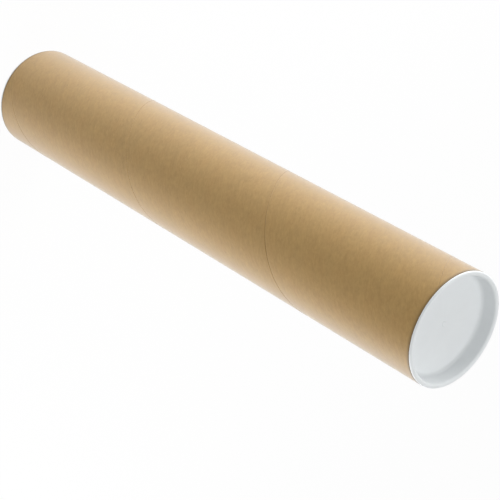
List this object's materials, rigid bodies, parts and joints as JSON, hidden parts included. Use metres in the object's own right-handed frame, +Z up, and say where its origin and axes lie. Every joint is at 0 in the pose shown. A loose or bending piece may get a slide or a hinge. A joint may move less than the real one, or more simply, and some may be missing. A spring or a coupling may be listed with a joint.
{
  "type": "cardboard mailing tube",
  "caption": "Spiral-wound kraft board mailing tube with a white push-in plastic cap in each end, for sending rolled papers.",
  "frame": {"origin": "centre of the bottom cap's flange, on the surface that the tube stands on", "axes": "+Z up along the tube's axis; the tube is round about it, and its outer seam crosses the +X side 105.5 mm below the board's head"},
  "size_m": [0.0802, 0.0802, 0.4602],
  "materials": {
    "kraft_board": "matte",
    "white_plastic": "satin"
  },
  "bodies": {
    "bottom_cap": {"bottom_cap": "white_plastic"},
    "tube": {"tube": "kraft_board"},
    "top_cap": {"top_cap": "white_plastic"}
  },
  "joints": [
    {"name": "tube_lift", "type": "slide", "parent": "bottom_cap", "child": "tube", "axis": [0, 0, 1], "range_m": [0, 0.04]},
    {"name": "top_cap_lift", "type": "slide", "parent": "tube", "child": "top_cap", "axis": [0, 0, 1], "range_m": [0, 0.04]}
  ]
}
